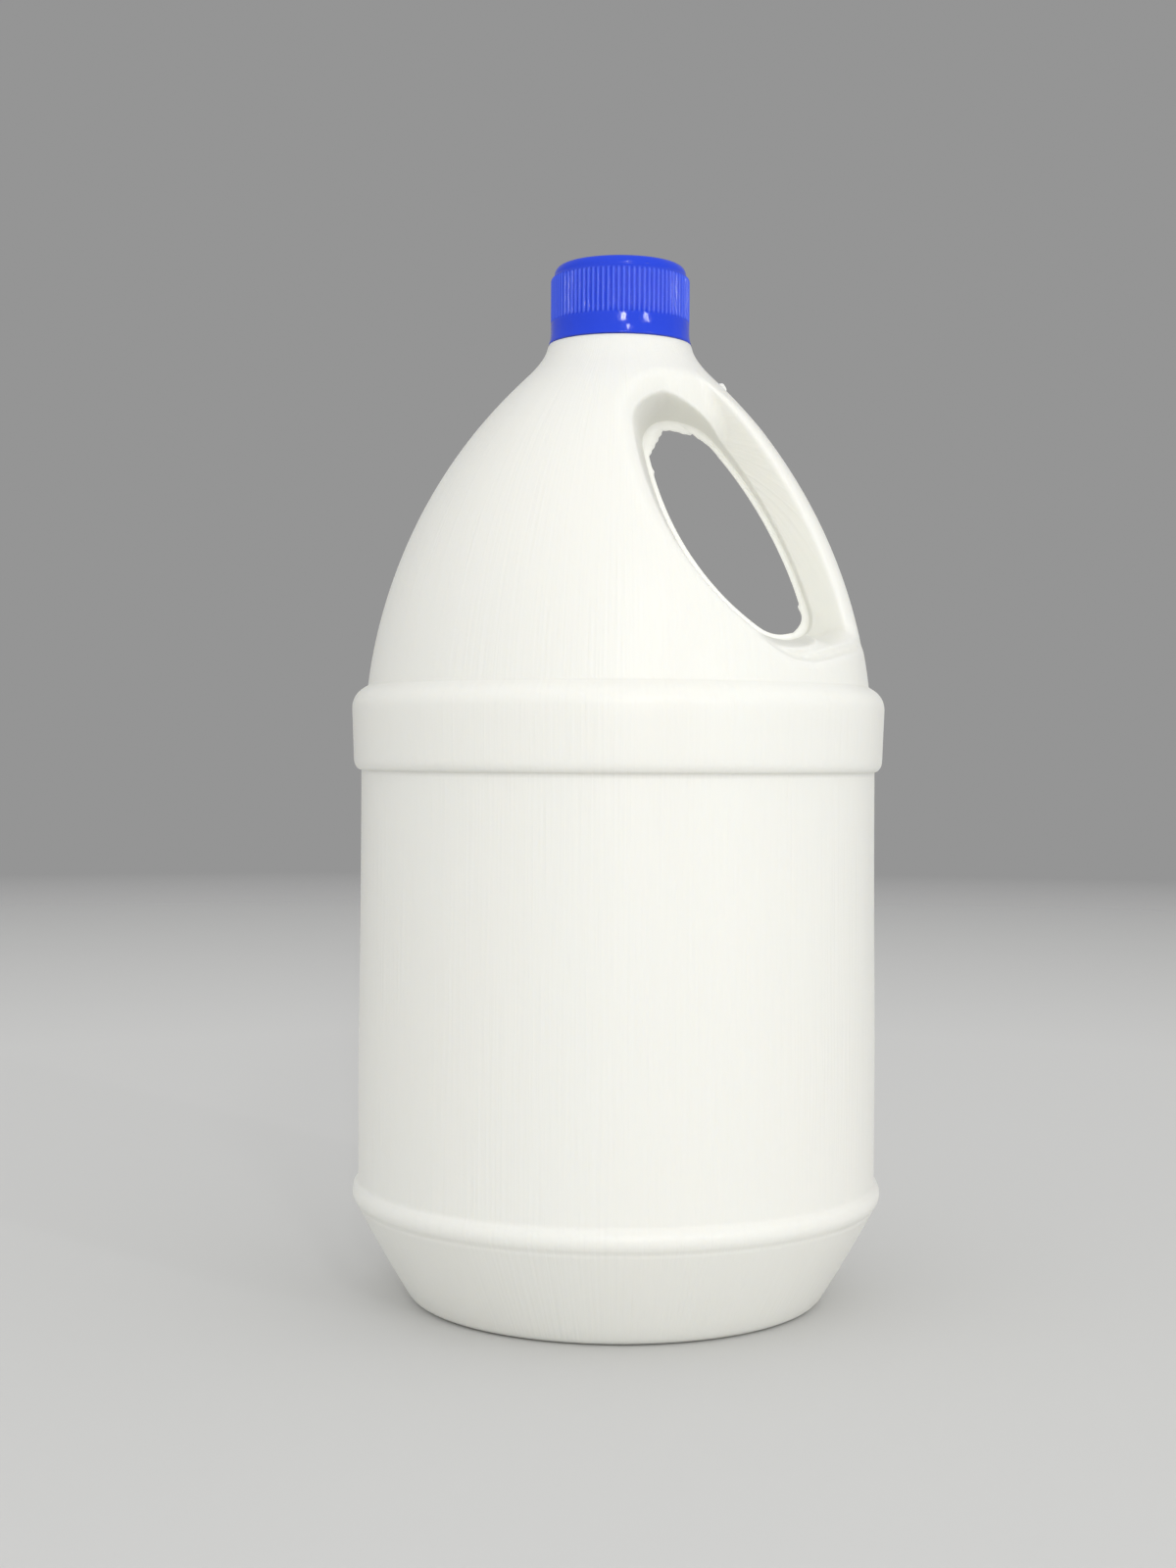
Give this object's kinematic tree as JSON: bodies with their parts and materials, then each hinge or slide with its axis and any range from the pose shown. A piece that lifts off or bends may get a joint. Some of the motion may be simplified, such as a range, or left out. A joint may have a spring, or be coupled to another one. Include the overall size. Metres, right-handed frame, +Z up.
{
  "type": "handled plastic jug",
  "caption": "Round blow-moulded plastic jug with a domed shoulder, a handle through the shoulder and a ribbed screw cap.",
  "frame": {"origin": "centre of the jug's flat underside, on the floor", "axes": "+Z up along the jug's axis, +X towards the handle, and the parting plane is y = 0"},
  "size_m": [0.1554, 0.1554, 0.3005],
  "materials": {
    "jug_plastic": "satin",
    "cap_plastic": "semi-gloss"
  },
  "bodies": {
    "root": {"jug": "jug_plastic", "cap": "cap_plastic"}
  },
  "joints": []
}
